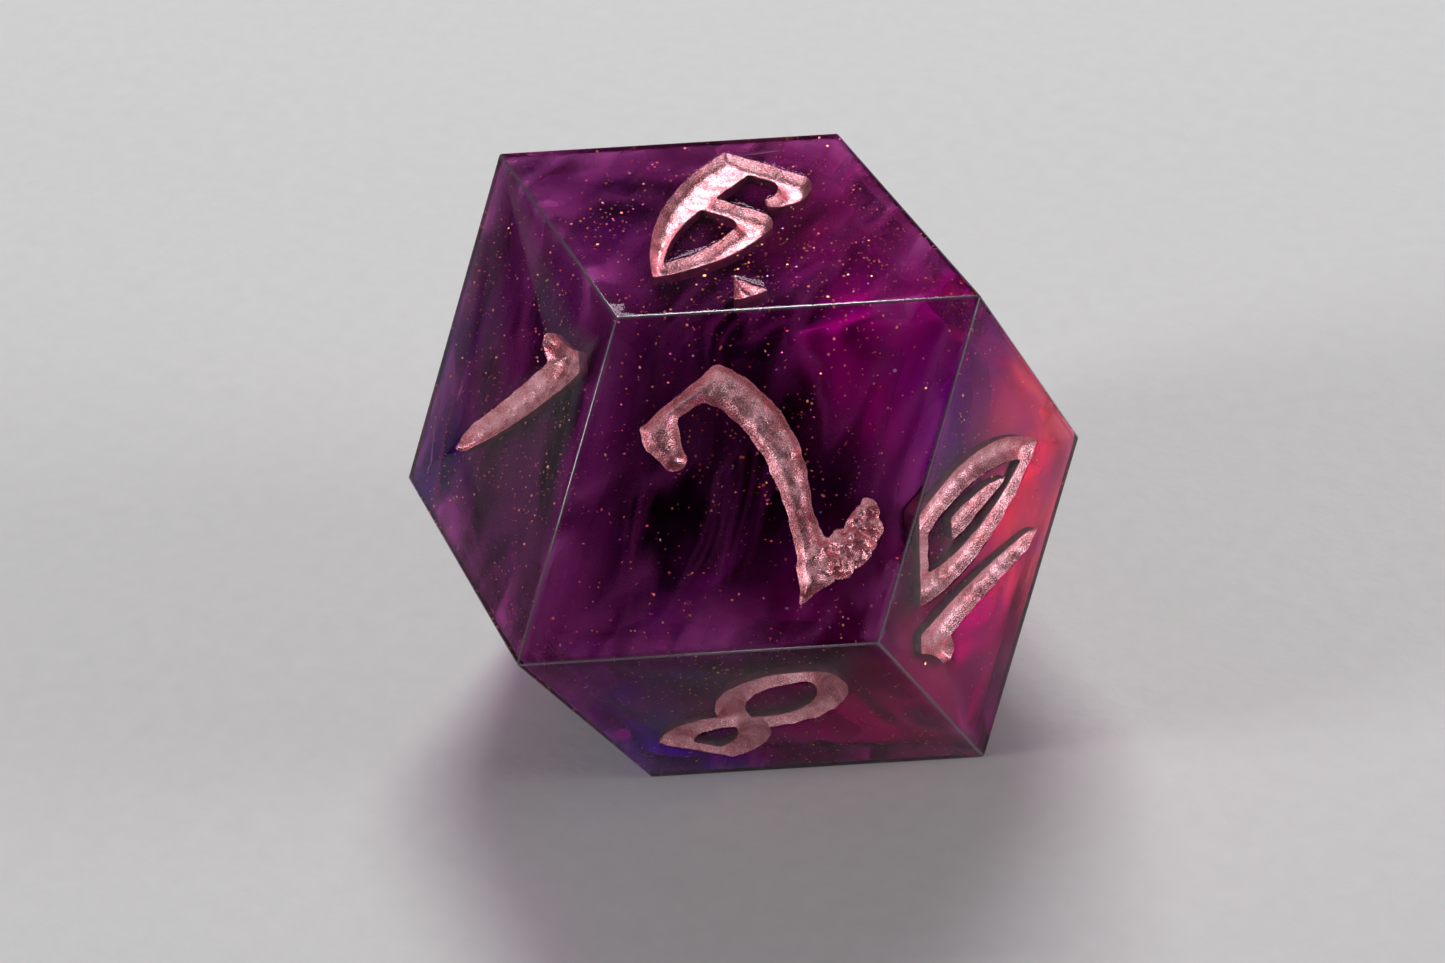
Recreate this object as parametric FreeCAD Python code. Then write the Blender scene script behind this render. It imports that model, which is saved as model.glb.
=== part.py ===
# Twelve-sided rhombic die, cast in tinted resin, with engraved numerals that are inked
# with metallic paint. The cast body is one solid. The paint in each engraved stroke is
# a separate solid lying on the floor of its pocket.
#
# Row frame: millimetres, +Z up, origin under the centre of the face that the die rests
# on (seven). Six is on top: seen from above it reads upright with +X to the right and
# +Y up. +Y runs along the short diagonal of the top face, +X along its long diagonal.
import FreeCAD, Part
import os
from math import sqrt
from FreeCAD import Vector

# ---------------------------------------------------------------- driving dimensions
FACE_TO_FACE = 18.0     # distance between two opposite faces
EDGE_RADIUS = 0.10      # polished, almost sharp edges
DIGIT_HEIGHT = 7.5      # height of a numeral
POCKET_DEPTH = 0.55     # engraving, measured square to the face
PAINT_THICKNESS = 0.30  # paint lying on the pocket floor
PAIR_GAP = 0.55         # between the two digits of 10, 11 and 12
MARK_GAP = 0.55         # between a 6 or 9 and the mark beside its foot

# ---------------------------------------------------------------- worked-out sizes
UNIT = FACE_TO_FACE / (2 * sqrt(2))     # half the side of the cube inside the solid
GRID_HEIGHT = 7.5                       # the glyphs below are drawn this tall
GLYPH_SCALE = DIGIT_HEIGHT / GRID_HEIGHT
OVERSHOOT = 0.4                         # pocket cutters stand this far out of the face
CENTRE = Vector(0, 0, FACE_TO_FACE / 2)

PARTS_FOLDER = "parts"


def to_row(u, v, w):
    """A direction in the axes of the inner cube, turned into the row frame."""
    return Vector((v - w) / sqrt(2), -u, (v + w) / sqrt(2))


# ---------------------------------------------------------------- glyph outlines
# An outline is a start point and steps. A step is a point, for a straight side, or
# via(middle, end), for an arc. x = 0 is the middle of the glyph, y = 0 its baseline.
# A glyph is a list of such wires, the outer one first and then its holes.
def via(middle, end):
    return ("arc", middle, end)


def outline(start, *steps):
    """Closed wire through the steps and back to the start, in the XY plane."""
    here = Vector(start[0], start[1], 0)
    first = here
    edges = []
    for step in steps:
        if step[0] == "arc":
            middle = Vector(step[1][0], step[1][1], 0)
            end = Vector(step[2][0], step[2][1], 0)
            edges.append(Part.Arc(here, middle, end).toShape())
        else:
            end = Vector(step[0], step[1], 0)
            edges.append(Part.makeLine(here, end))
        here = end
    if here.distanceToPoint(first) > 1e-6:
        edges.append(Part.makeLine(here, first))
    return Part.Wire(edges)


def one():
    """Tapering stem with a flat top, a pointed foot and a short flag."""
    stem = outline(
        (-0.12, 7.5), (0.62, 7.5), via((0.70, 4.6), (0.36, 1.0)),
        via((0.24, 0.42), (0.0, 0.0)), via((-0.30, 0.55), (-0.42, 1.3)),
        via((-0.44, 3.6), (-0.56, 5.75)), (-1.28, 5.42), (-1.62, 5.62),
        (-1.40, 6.15), via((-0.72, 6.72), (-0.12, 7.5)),
    )
    return [stem]


def two():
    """Hooked flat top, curved stem and an upturned base."""
    body = outline(
        (-1.95, 7.42), (1.10, 7.48), via((1.72, 5.6), (1.05, 3.0)), (0.20, 1.25),
        via((1.15, 1.12), (2.12, 1.55)), (2.26, 1.22), via((1.70, 0.40), (0.9, 0.10)),
        (-1.55, 0.12), via((-0.42, 1.75), (0.32, 3.7)),
        via((0.52, 5.4), (0.15, 6.86)), (-0.85, 6.90), via((-1.18, 6.4), (-1.42, 5.74)),
        via((-1.84, 5.72), (-2.08, 6.15)), via((-2.15, 6.85), (-1.95, 7.42)),
    )
    return [body]


def three():
    """Flat top bar, slanting neck and a bowl with a pointed foot."""
    body = outline(
        (-1.75, 7.5), (1.85, 7.5), via((1.30, 6.1), (0.62, 4.98)),
        via((1.66, 4.55), (1.95, 3.5)), via((1.50, 1.5), (0.0, 0.0)),
        via((-1.02, 0.75), (-1.8, 1.9)), (-1.35, 2.5), via((-0.75, 1.55), (0.0, 1.05)),
        via((0.80, 2.0), (0.92, 3.2)), via((0.45, 3.98), (-0.75, 4.2)),
        (0.62, 6.72), (-1.28, 6.72),
    )
    return [body]


def four():
    """Blade-shaped stem crossed by a bar, with a curved diagonal."""
    body = outline(
        (0.2, 7.5), (1.3, 7.5), (1.3, 3.05), (2.05, 3.05), (1.88, 2.3), (1.28, 2.3),
        via((1.18, 1.0), (0.75, 0.0)), via((0.27, 1.1), (0.2, 2.3)), (-2.0, 2.3),
        (-2.08, 2.92), via((-0.72, 4.95), (0.2, 7.5)),
    )
    hole = outline((0.2, 5.7), (0.2, 3.05), (-1.1, 3.05), via((-0.40, 4.3), (0.2, 5.7)))
    return [body, hole]


def five():
    """Flat top bar, short upright and a bowl with a pointed foot."""
    body = outline(
        (-1.6, 7.5), (1.7, 7.5), (1.48, 6.72), (-0.6, 6.72), (-0.66, 4.95), (0.85, 4.9),
        via((1.68, 4.50), (1.95, 3.6)), via((1.52, 1.5), (0.0, 0.0)),
        via((-1.02, 0.75), (-1.8, 1.9)), (-1.35, 2.5), via((-0.75, 1.55), (0.0, 1.05)),
        via((0.80, 2.1), (0.92, 3.3)), via((0.84, 3.88), (0.4, 4.1)), (-1.62, 4.15),
    )
    return [body]


def six():
    """Leaf-shaped bowl with a flat top that ends in a hook."""
    body = outline(
        (-1.90, 7.52), (1.25, 7.44), via((1.93, 6.55), (1.22, 5.24)), (0.86, 5.60),
        via((0.97, 6.25), (0.55, 6.66)), (-0.42, 6.66), (-0.56, 4.92), (1.30, 4.88),
        via((1.86, 4.55), (2.02, 3.85)), via((1.58, 1.75), (0.36, 0.0)),
        via((-1.40, 2.85), (-2.04, 5.9)),
    )
    bowl = outline(
        (-0.54, 4.12), (0.60, 4.10), via((0.95, 3.88), (1.0, 3.4)),
        via((0.78, 1.95), (0.20, 0.86)), via((-0.42, 2.4), (-0.54, 4.12)),
    )
    return [body, bowl]


def seven():
    """Flat top bar with a small serif and a curved, pointed stem."""
    body = outline(
        (-1.95, 7.5), (2.0, 7.5), via((1.18, 3.7), (-0.45, 0.0)),
        via((-0.02, 3.5), (0.72, 6.7)), (-1.05, 6.7), via((-1.38, 6.3), (-1.55, 5.75)),
        (-1.95, 6.05),
    )
    return [body]


def eight():
    """Flat-topped upper loop over a leaf-shaped lower loop."""
    body = outline(
        (-1.4, 7.5), (1.4, 7.5), via((1.72, 6.1), (0.98, 4.68)),
        via((1.98, 2.75), (0.0, 0.0)), via((-1.98, 2.75), (-0.98, 4.68)),
        via((-1.72, 6.1), (-1.4, 7.5)),
    )
    upper = outline(
        (-0.52, 6.84), (0.52, 6.84), via((0.60, 6.0), (0.0, 5.2)),
        via((-0.60, 6.0), (-0.52, 6.84)),
    )
    lower = outline((0.0, 4.2), via((0.95, 2.95), (0.0, 0.95)), via((-0.95, 2.95), (0.0, 4.2)))
    return [body, upper, lower]


def nine():
    """Flat-topped loop with a stem that curves down to a point."""
    body = outline(
        (-1.35, 7.5), (1.8, 7.5), via((1.90, 3.6), (-0.35, 0.0)),
        via((0.62, 1.5), (0.90, 3.1)), (-0.85, 3.1), via((-1.86, 3.75), (-2.02, 5.0)),
        via((-1.86, 6.5), (-1.35, 7.5)),
    )
    hole = outline(
        (-0.78, 6.8), (0.78, 6.8), via((0.97, 5.4), (0.95, 3.9)), (-0.58, 3.9),
        via((-0.99, 5.2), (-0.78, 6.8)),
    )
    return [body, hole]


def zero_ring():
    """Shield-shaped ring with a flat top and a pointed foot."""
    ring = outline(
        (-1.72, 7.5), (1.72, 7.5), via((1.98, 4.0), (0.0, 0.0)), via((-1.98, 4.0), (-1.72, 7.5)),
    )
    hole = outline(
        (-0.76, 6.96), (0.76, 6.96), via((0.98, 4.1), (0.0, 1.15)),
        via((-0.98, 4.1), (-0.76, 6.96)),
    )
    return [ring, hole]


def zero_core():
    """Drop in the middle of the zero."""
    drop = outline(
        (-0.46, 5.5), (0.46, 5.6), via((0.42, 3.9), (-0.08, 2.1)), via((-0.40, 3.8), (-0.46, 5.5)),
    )
    return [drop]


def mark():
    """Small triangle beside the foot of a 6 or 9."""
    triangle = outline((-0.65, 1.16), (0.65, 1.12), via((0.44, 0.58), (0.04, 0.14)))
    return [triangle]


# ---------------------------------------------------------------- what is on each face
def pair_shifts(left_edges, right_edges):
    """Sideways shifts that centre two glyphs as a pair, given (left, right) of each."""
    step = left_edges[1] + PAIR_GAP - right_edges[0]
    middle = (left_edges[0] + step + right_edges[1]) / 2
    return -middle, step - middle


ONE_EDGES = (-1.62, 0.70)               # left and right edge of the drawn glyphs
TWO_EDGES = (-2.12, 2.26)
ZERO_EDGES = (-2.20, 2.20)
SIX_RIGHT_EDGE = 2.02
MARK_HALF_WIDTH = 0.65
SIX_SHIFT = -0.72                       # a marked digit makes room for its mark
MARK_SHIFT = SIX_SHIFT + SIX_RIGHT_EDGE + MARK_GAP + MARK_HALF_WIDTH

TEN_ONE, TEN_ZERO = pair_shifts(ONE_EDGES, ZERO_EDGES)
ELEVEN_LEFT, ELEVEN_RIGHT = pair_shifts(ONE_EDGES, ONE_EDGES)
TWELVE_ONE, TWELVE_TWO = pair_shifts(ONE_EDGES, TWO_EDGES)

# Outward normal and reading direction of each face, in the axes of the inner cube, the
# height of the glyphs' middle above the face's middle, and the glyphs with their
# sideways shifts. Opposite faces add up to thirteen.
FACES = [
    ((1, 0, 1), (0, 1, 0), 0.40, {"one": (one, 0.25)}),
    ((1, 1, 0), (0, 0, 1), -0.35, {"two": (two, 0.36)}),
    ((0, -1, 1), (1, 0, 0), 0.0, {"three": (three, 0.0)}),
    ((-1, 1, 0), (0, 0, 1), 0.0, {"four": (four, 0.0)}),
    ((-1, 0, 1), (0, -1, 0), 0.0, {"five": (five, 0.0)}),
    ((0, 1, 1), (-1, 0, 0), -0.13,
     {"six": (six, SIX_SHIFT), "six_mark": (mark, MARK_SHIFT)}),
    ((0, -1, -1), (-1, 0, 0), 0.0, {"seven": (seven, 0.0)}),
    ((1, 0, -1), (0, -1, 0), 0.0, {"eight": (eight, 0.0)}),
    ((1, -1, 0), (0, 0, 1), 0.0,
     {"nine": (nine, SIX_SHIFT), "nine_mark": (mark, MARK_SHIFT)}),
    ((0, 1, -1), (1, 0, 0), 0.05,
     {"ten_one": (one, TEN_ONE), "ten_zero_ring": (zero_ring, TEN_ZERO),
      "ten_zero_core": (zero_core, TEN_ZERO)}),
    ((-1, -1, 0), (0, 0, 1), 0.0,
     {"eleven_left_one": (one, ELEVEN_LEFT), "eleven_right_one": (one, ELEVEN_RIGHT)}),
    ((-1, 0, -1), (0, 1, 0), 0.0,
     {"twelve_one": (one, TWELVE_ONE), "twelve_two": (two, TWELVE_TWO)}),
]


# ---------------------------------------------------------------- solids
def face_placement(normal, up, height):
    """Placement whose XY plane lies in the face, offset outwards by height."""
    outwards = to_row(*normal).normalize()
    reading = to_row(*up).normalize()
    right = reading.cross(outwards)
    middle = CENTRE + outwards * (FACE_TO_FACE / 2 + height)
    return FreeCAD.Placement(
        FreeCAD.Matrix(
            right.x, reading.x, outwards.x, middle.x,
            right.y, reading.y, outwards.y, middle.y,
            right.z, reading.z, outwards.z, middle.z,
            0, 0, 0, 1,
        )
    )


def glyph_solid(wires, shift, rise, placement, thickness):
    """Glyph drawn on the placement's plane and extruded outwards by thickness."""
    flat = Part.makeFace(wires, "Part::FaceMakerBullseye")
    flat.scale(GLYPH_SCALE)
    flat.translate(Vector(shift * GLYPH_SCALE, rise - DIGIT_HEIGHT / 2, 0))
    solid = flat.extrude(Vector(0, 0, thickness))
    return solid.transformed(placement.toMatrix())


def rhombic_blank():
    """The die before engraving: twelve equal rhombic faces with polished edges."""
    tips = [Vector(2, 0, 0), Vector(0, 2, 0), Vector(0, 0, 2)]
    faces = []
    for normal, _, _, _ in FACES:
        signed = [tip * part for tip, part in zip(tips, normal) if part]
        side = Vector(*[0 if part else 1 for part in normal])
        outwards = Vector(*normal)
        ring = [signed[0], outwards + side, signed[1], outwards - side]
        points = [CENTRE + to_row(*corner) * UNIT for corner in ring]
        faces.append(Part.Face(Part.makePolygon(points + points[:1])))
    blank = Part.makeSolid(Part.makeShell(faces))
    if blank.Volume < 0:
        blank.reverse()
    return blank.makeFillet(EDGE_RADIUS, blank.Edges)


def main():
    os.makedirs(PARTS_FOLDER, exist_ok=True)
    body = rhombic_blank()
    fills = {}
    for normal, up, rise, glyphs in FACES:
        floor = face_placement(normal, up, -POCKET_DEPTH)
        for name, (draw, shift) in glyphs.items():
            pocket = glyph_solid(draw(), shift, rise, floor, POCKET_DEPTH + OVERSHOOT)
            body = body.cut(pocket)
            fills[name + "_paint"] = glyph_solid(draw(), shift, rise, floor, PAINT_THICKNESS)
    parts = {"resin_body": body, **fills}
    for name, shape in parts.items():
        shape.Solids[0].exportStep(os.path.join(PARTS_FOLDER, name + ".step"))
        print(f"{name:24s} valid {shape.isValid()}  solids {len(shape.Solids)}"
              f"  volume {shape.Volume:9.3f} mm3")


main()
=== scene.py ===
"""Looks of the rhombic twelve-sided die: a casting of clear violet resin with pigment
clouds, veils and glitter inside, and metallic paint in its engraved numerals.

Meshes are worked out in millimetres in the row frame and stored in metres. A direction
or corner of the solid is given in the axes u, v, w of the cube inside it, whose half
side is 1: the blunt corners are (1, 1, 1) and so on, the sharp ones (2, 0, 0) and so on.
"""
import random
from collections import namedtuple
from itertools import product
from math import cos, pi, radians, sin, sqrt

import bmesh
import bpy
import numpy as np
from mathutils import Matrix, Vector, noise
from mathutils.geometry import delaunay_2d_cdt


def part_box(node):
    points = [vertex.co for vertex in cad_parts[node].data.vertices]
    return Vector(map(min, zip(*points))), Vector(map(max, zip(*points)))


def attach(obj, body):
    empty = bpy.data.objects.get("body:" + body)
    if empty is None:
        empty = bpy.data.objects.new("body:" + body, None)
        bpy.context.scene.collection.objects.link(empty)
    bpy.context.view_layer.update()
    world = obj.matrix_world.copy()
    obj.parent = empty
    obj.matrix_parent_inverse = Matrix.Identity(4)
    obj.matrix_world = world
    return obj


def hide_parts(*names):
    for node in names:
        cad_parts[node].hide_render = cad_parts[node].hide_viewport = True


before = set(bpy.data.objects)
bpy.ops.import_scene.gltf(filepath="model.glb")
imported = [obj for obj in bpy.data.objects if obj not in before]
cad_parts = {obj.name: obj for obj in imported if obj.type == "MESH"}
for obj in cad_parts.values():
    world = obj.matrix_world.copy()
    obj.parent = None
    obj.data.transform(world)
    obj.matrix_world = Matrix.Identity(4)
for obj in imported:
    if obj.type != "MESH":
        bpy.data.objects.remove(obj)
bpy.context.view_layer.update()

NOISE_SEED = 25                # noise vectors change from run to run without a seed
GLITTER_SEED = 12
noise.seed_set(NOISE_SEED)

MM = 0.001
BODY = "root"

# ---------------------------------------------------------------- sizes, in millimetres
BODY_LOW, BODY_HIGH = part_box("resin_body")
HALF = (BODY_HIGH.z - BODY_LOW.z) / MM / 2     # from the centre to a face
CENTRE = Vector((0, 0, HALF))
UNIT = HALF / sqrt(2)          # half the side of the cube inside the solid
WELD = 2e-4                    # points closer than this are one point
TINY = 1e-6

EDGE_RADIUS = 0.10
EDGE_STEPS = 4
INSET = HALF - EDGE_RADIUS     # centre to face of the solid that the roundings are centred on
RIM_RADIUS = 0.018             # worn rim of the engraving
RIM_STEPS = 3
POCKET_DEPTH = 0.55


# ---------------------------------------------------------------- geometry helpers
def to_row(u, v, w):
    """A direction in the axes of the inner cube, turned into the row frame."""
    return Vector(((v - w) / sqrt(2), -u, (v + w) / sqrt(2)))


def corner(u, v, w):
    """A point given in half sides of the inner cube, in row millimetres."""
    return CENTRE + to_row(u, v, w) * UNIT


def clamped(share):
    return min(max(share, 0.0), 1.0)


def eased(share):
    """The share kept within 0 to 1, with a gentle start and end."""
    share = clamped(share)
    return share * share * (3 - 2 * share)


class Face:
    """One rhombic face: its plane, and flat coordinates along its two diagonals."""

    def __init__(self, u, v, w):
        self.key = (u, v, w)
        self.normal = to_row(u, v, w).normalized()
        self.y_axis = to_row(*[0 if part else 1 for part in self.key])
        self.x_axis = self.y_axis.cross(self.normal)
        self.middle = CENTRE + self.normal * HALF

    def lift(self, x, y, height=0.0):
        return self.middle + self.x_axis * x + self.y_axis * y + self.normal * height

    def flatten(self, place):
        arm = place - self.middle
        return arm.dot(self.x_axis), arm.dot(self.y_axis)


def all_faces():
    pairs = list(product((1, -1), repeat=2))
    keys = [(a, b, 0) for a, b in pairs] + [(a, 0, b) for a, b in pairs] + [(0, a, b) for a, b in pairs]
    return [Face(*key) for key in keys]


class Shell:
    """Points and faces gathered bit by bit, with the material number of each face."""

    def __init__(self):
        self.points = []
        self.polygons = []
        self.kinds = []

    def add(self, points, polygons, kind=0):
        first = len(self.points)
        self.points.extend(points)
        self.polygons.extend(tuple(first + i for i in polygon) for polygon in polygons)
        self.kinds.extend([kind] * len(polygons))

    def add_strip(self, near, far, kind, closed=False):
        """Four-sided faces between two rows of points."""
        count = len(near)
        links = range(count if closed else count - 1)
        quads = [(i, (i + 1) % count, count + (i + 1) % count, count + i) for i in links]
        self.add(list(near) + list(far), quads, kind)


def add_object(name, data):
    made = bpy.data.objects.new(name, data)
    bpy.context.scene.collection.objects.link(made)
    return made


def closed_object(name, shell):
    """Smooth object from a closed shell: equal points welded, normals outwards."""
    mesh = bpy.data.meshes.new(name)
    mesh.from_pydata([tuple(p) for p in shell.points], [], shell.polygons)
    mesh.polygons.foreach_set("material_index", shell.kinds)
    bm = bmesh.new()
    bm.from_mesh(mesh)
    bmesh.ops.remove_doubles(bm, verts=bm.verts, dist=WELD)
    bmesh.ops.recalc_face_normals(bm, faces=bm.faces)
    bmesh.ops.scale(bm, vec=(MM, MM, MM), verts=bm.verts)
    for face in bm.faces:
        face.smooth = True
    bm.to_mesh(mesh)
    bm.free()
    return add_object(name, mesh)


# ---------------------------------------------------------------- engraved outlines
TOP_SLOPE = 0.99               # polygons that face this nearly outwards are a solid's top
DIGITS = 4                     # places are matched to this many decimals
OUTLINE_STEP = 0.09            # spacing of points along an engraved outline
OUTLINE_SOFTENINGS = 2
RAGGED = {"two_paint": 0.075}  # how uneven an outline is
RAGGED_USUAL = 0.022
COARSE_WAVES = 1.7             # how closely the unevenness follows on itself
FINE_WAVES = 5.1
FINE_SHARE = 0.4

# The foot of the two is torn out. It is fully torn within TORN_CORE of TORN_MIDDLE, and
# untouched from TORN_REACH on.
TORN_MIDDLE = corner(0.84, 1.16, -0.56)
TORN_CORE = 0.9
TORN_REACH = 1.7
TORN_AMOUNT = 0.19             # how far its outline wanders
TORN_WAVES = 3.4
TORN_SWELL = 0.10              # how much wider it is cut


def top_outline(solid, face):
    """Edges round the top of a paint solid: each flat point and the one after it."""
    mesh = solid.data
    unpaired = {}
    for polygon in mesh.polygons:
        if polygon.normal.dot(face.normal) < TOP_SLOPE:
            continue
        flat = [face.flatten(mesh.vertices[i].co / MM) for i in polygon.vertices]
        spots = [(round(x, DIGITS), round(y, DIGITS)) for x, y in flat]
        for start, end in zip(spots, spots[1:] + spots[:1]):
            if (end, start) in unpaired:
                del unpaired[(end, start)]
            else:
                unpaired[(start, end)] = True
    return dict(unpaired.keys())


def chain(following):
    """Closed loops of points, with the painted region on the left of each."""
    loops = []
    while following:
        start, here = following.popitem()
        loop = [start]
        while here != start:
            loop.append(here)
            here = following.pop(here)
        loops.append(np.array(loop))
    return loops


def resample(loop):
    """The loop with points at most OUTLINE_STEP apart and corners slightly softened."""
    points = []
    for start, end in zip(loop, np.roll(loop, -1, axis=0)):
        parts = max(1, int(np.ceil(np.linalg.norm(end - start) / OUTLINE_STEP)))
        points += [start + (end - start) * i / parts for i in range(parts)]
    points = np.array(points)
    for _ in range(OUTLINE_SOFTENINGS):
        beside = np.roll(points, 1, axis=0) + np.roll(points, -1, axis=0)
        points = 0.5 * points + 0.25 * beside
    return points


def torn(place):
    """How badly the resin is torn out there, 0 to 1."""
    return eased((TORN_REACH - (place - TORN_MIDDLE).length) / (TORN_REACH - TORN_CORE))


def ragged(loop, face, amount):
    """The loop with the small unevenness of a hand-finished engraving."""
    moved = []
    for x, y in loop:
        place = face.lift(x, y)
        coarse = noise.noise_vector(place * COARSE_WAVES)
        fine = noise.noise_vector(place * FINE_WAVES)
        crumbs = noise.noise_vector(place * TORN_WAVES) * TORN_AMOUNT * torn(place)
        moved.append((x + amount * (coarse.x + FINE_SHARE * fine.x) + crumbs.x,
                      y + amount * (coarse.y + FINE_SHARE * fine.y) + crumbs.y))
    moved = np.array(moved)
    swell = np.array([[TORN_SWELL * torn(face.lift(x, y))] for x, y in moved])
    return sideways(moved, swell)


def sideways(loop, distance):
    """The loop moved away from the painted region by distance."""
    ahead = np.roll(loop, -1, axis=0) - np.roll(loop, 1, axis=0)
    ahead /= np.maximum(np.linalg.norm(ahead, axis=1, keepdims=True), TINY)
    return loop + distance * np.stack([ahead[:, 1], -ahead[:, 0]], axis=1)


def inside(points, loops):
    """For each point, whether it is in the region that the loops bound."""
    hit = np.zeros(len(points), bool)
    for loop in loops:
        for (x1, y1), (x2, y2) in zip(loop, np.roll(loop, -1, axis=0)):
            if y1 == y2:
                continue
            spans = (points[:, 1] < y1) != (points[:, 1] < y2)
            cross = x1 + (points[:, 1] - y1) * (x2 - x1) / (y2 - y1)
            hit ^= spans & (points[:, 0] < cross)
    return hit


def wall_distance(points, loops):
    """Distance from each point to the nearest outline."""
    best = np.full(len(points), np.inf)
    for loop in loops:
        for start, end in zip(loop, np.roll(loop, -1, axis=0)):
            along = end - start
            share = np.clip((points - start) @ along / (along @ along), 0, 1)
            best = np.minimum(best, np.linalg.norm(points - start - share[:, None] * along, axis=1))
    return best


def triangulate(loops, outer=None, extra=()):
    """Flat triangles of the region in the loops, or of the outer ring less that region."""
    points, edges = [], []
    for ring in ([outer] if outer is not None else []) + list(loops):
        first = len(points)
        points += [Vector(p) for p in ring]
        edges += [(first + i, first + (i + 1) % len(ring)) for i in range(len(ring))]
    points += [Vector(p) for p in extra]
    everything = 0             # output kind: triangles over the whole hull
    made, _, faces, _, _, _ = delaunay_2d_cdt(points, edges, [], everything, TINY)
    flat = np.array([tuple(p) for p in made])
    faces = np.array([tuple(f) for f in faces])
    middles = flat[faces].mean(axis=1)
    keep = inside(middles, loops)
    if outer is not None:
        keep = inside(middles, [np.array(outer)]) & ~keep
    return flat, [tuple(f) for f in faces[keep]]


def pocket_outlines(faces):
    """Paint node name to (its face, the outlines of its pocket)."""
    found = {}
    for name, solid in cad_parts.items():
        if not name.endswith("_paint"):
            continue
        low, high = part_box(name)
        arm = (low + high) / 2 / MM - CENTRE
        face = max(faces, key=lambda f: f.normal.dot(arm))
        amount = RAGGED.get(name, RAGGED_USUAL)
        loops = [ragged(resample(loop), face, amount) for loop in chain(top_outline(solid, face))]
        found[name] = (face, loops)
    return found


# ---------------------------------------------------------------- the casting
POLISHED, WORN_AND_HIGHLIT = 0, 1          # material numbers: the faces and pockets, and the edges
FLAT_SLOPE = 0.9999            # polygons this nearly in line with a face are flat
CASTING_CREASE = radians(50)


def slerp(start, end, share):
    angle = start.angle(end)
    return (start * sin((1 - share) * angle) + end * sin(share * angle)) / sin(angle)


def edge_arcs(faces):
    """For each edge its rounded section at both ends, and the same arcs by corner."""
    normals = {face.key: face.normal for face in faces}
    strips, at_corner = [], {}
    for blunt, axis in product(product((1, -1), repeat=3), range(3)):
        sharp = tuple(2 * sign if i == axis else 0 for i, sign in enumerate(blunt))
        sides = [normals[tuple(0 if i == other else sign for i, sign in enumerate(blunt))]
                 for other in range(3) if other != axis]
        strip = []
        for end in (blunt, sharp):
            place = CENTRE + to_row(*end) * (INSET / sqrt(2))
            arc = [place + slerp(*sides, i / EDGE_STEPS) * EDGE_RADIUS for i in range(EDGE_STEPS + 1)]
            strip.append(arc)
            at_corner.setdefault(end, []).extend(arc)
        strips.append(strip)
    return strips, at_corner


def add_flat(shell, face, loops):
    """One rhombic face, with the rims, walls and floors of its pockets."""
    long_half, short_half = INSET, INSET / sqrt(2)
    ring = [(long_half, 0), (0, short_half), (-long_half, 0), (0, -short_half)]
    rims = [sideways(loop, RIM_RADIUS) for loop in loops]
    flat, triangles = triangulate(rims, outer=ring)
    shell.add([face.lift(x, y) for x, y in flat], triangles, POLISHED)
    for loop in loops:
        section = []
        for i in range(RIM_STEPS + 1):
            turn = i / RIM_STEPS * pi / 2
            moved = sideways(loop, RIM_RADIUS * (1 - sin(turn)))
            height = -RIM_RADIUS * (1 - cos(turn))
            section.append([face.lift(x, y, height) for x, y in moved])
        section.append([face.lift(x, y, -POCKET_DEPTH) for x, y in loop])
        for near, far in zip(section, section[1:]):
            shell.add_strip(near, far, POLISHED, closed=True)
    flat, triangles = triangulate(loops)
    shell.add([face.lift(x, y, -POCKET_DEPTH) for x, y in flat], triangles, POLISHED)


def add_corner(shell, key, arcs):
    """The rounded corner between the ends of the edges that meet there."""
    axis = to_row(*key).normalized()
    place = CENTRE + to_row(*key) * INSET / sqrt(2)
    side = axis.orthogonal().normalized()
    other = axis.cross(side)
    arms = sorted(arcs, key=lambda p: np.arctan2((p - place).dot(other), (p - place).dot(side)))
    ring = [p for i, p in enumerate(arms) if (p - arms[i - 1]).length > WELD]
    count = len(ring)
    tip = place + axis * EDGE_RADIUS
    shell.add(ring + [tip], [(i, (i + 1) % count, count) for i in range(count)], WORN_AND_HIGHLIT)


def make_casting(faces, pockets):
    shell = Shell()
    for face in faces:
        loops = [loop for owner, found in pockets.values() if owner is face for loop in found]
        add_flat(shell, face, loops)
    strips, at_corner = edge_arcs(faces)
    for near, far in strips:
        shell.add_strip(near, far, WORN_AND_HIGHLIT)
    for key, arcs in at_corner.items():
        add_corner(shell, key, arcs)
    piece = closed_object("resin_casting", shell)
    for polygon in piece.data.polygons:
        slope = max(polygon.normal.dot(face.normal) for face in faces)
        polygon.use_smooth = slope < FLAT_SLOPE        # the faces and pocket floors stay flat
    piece.data.set_sharp_from_angle(angle=CASTING_CREASE)
    return piece


# ---------------------------------------------------------------- the paint
OPEN, BONDED = 0, 1            # material numbers: its free surface, and the side on the resin
PAINT_OVERLAP = 0.012          # the paint grips the pocket walls
PAINT_GRID = 0.075
PAINT_FLOOR = 0.16             # thickness in the middle of a stroke
PAINT_CREEP = 0.17             # width of the paint that climbs the walls
PAINT_CREEP_POWER = 1.4
PAINT_TOP = 0.05               # the paint stops this far below the rim
PAINT_CREASE = radians(60)
LUMPS = [(0.045, 3.1), (0.02, 9.0)]            # heights of its waves, and how close they are
TORN_LUMPS = [(0.34, 3.3), (0.12, 8.0)]        # and of the crumbs in the torn foot
TORN_LIFT = 0.14
TOP_LUMPS = [(0.05, 2.3)]                      # and of its line along the walls
CRUMBS_AT_TOP = 0.5            # share of the crumbs that shows on that line
NO_SHIFT = Vector((0, 0, 0))


def lumpy(place, waves, shift=NO_SHIFT):
    return sum(height * noise.noise(place * closeness + shift) for height, closeness in waves)


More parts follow.
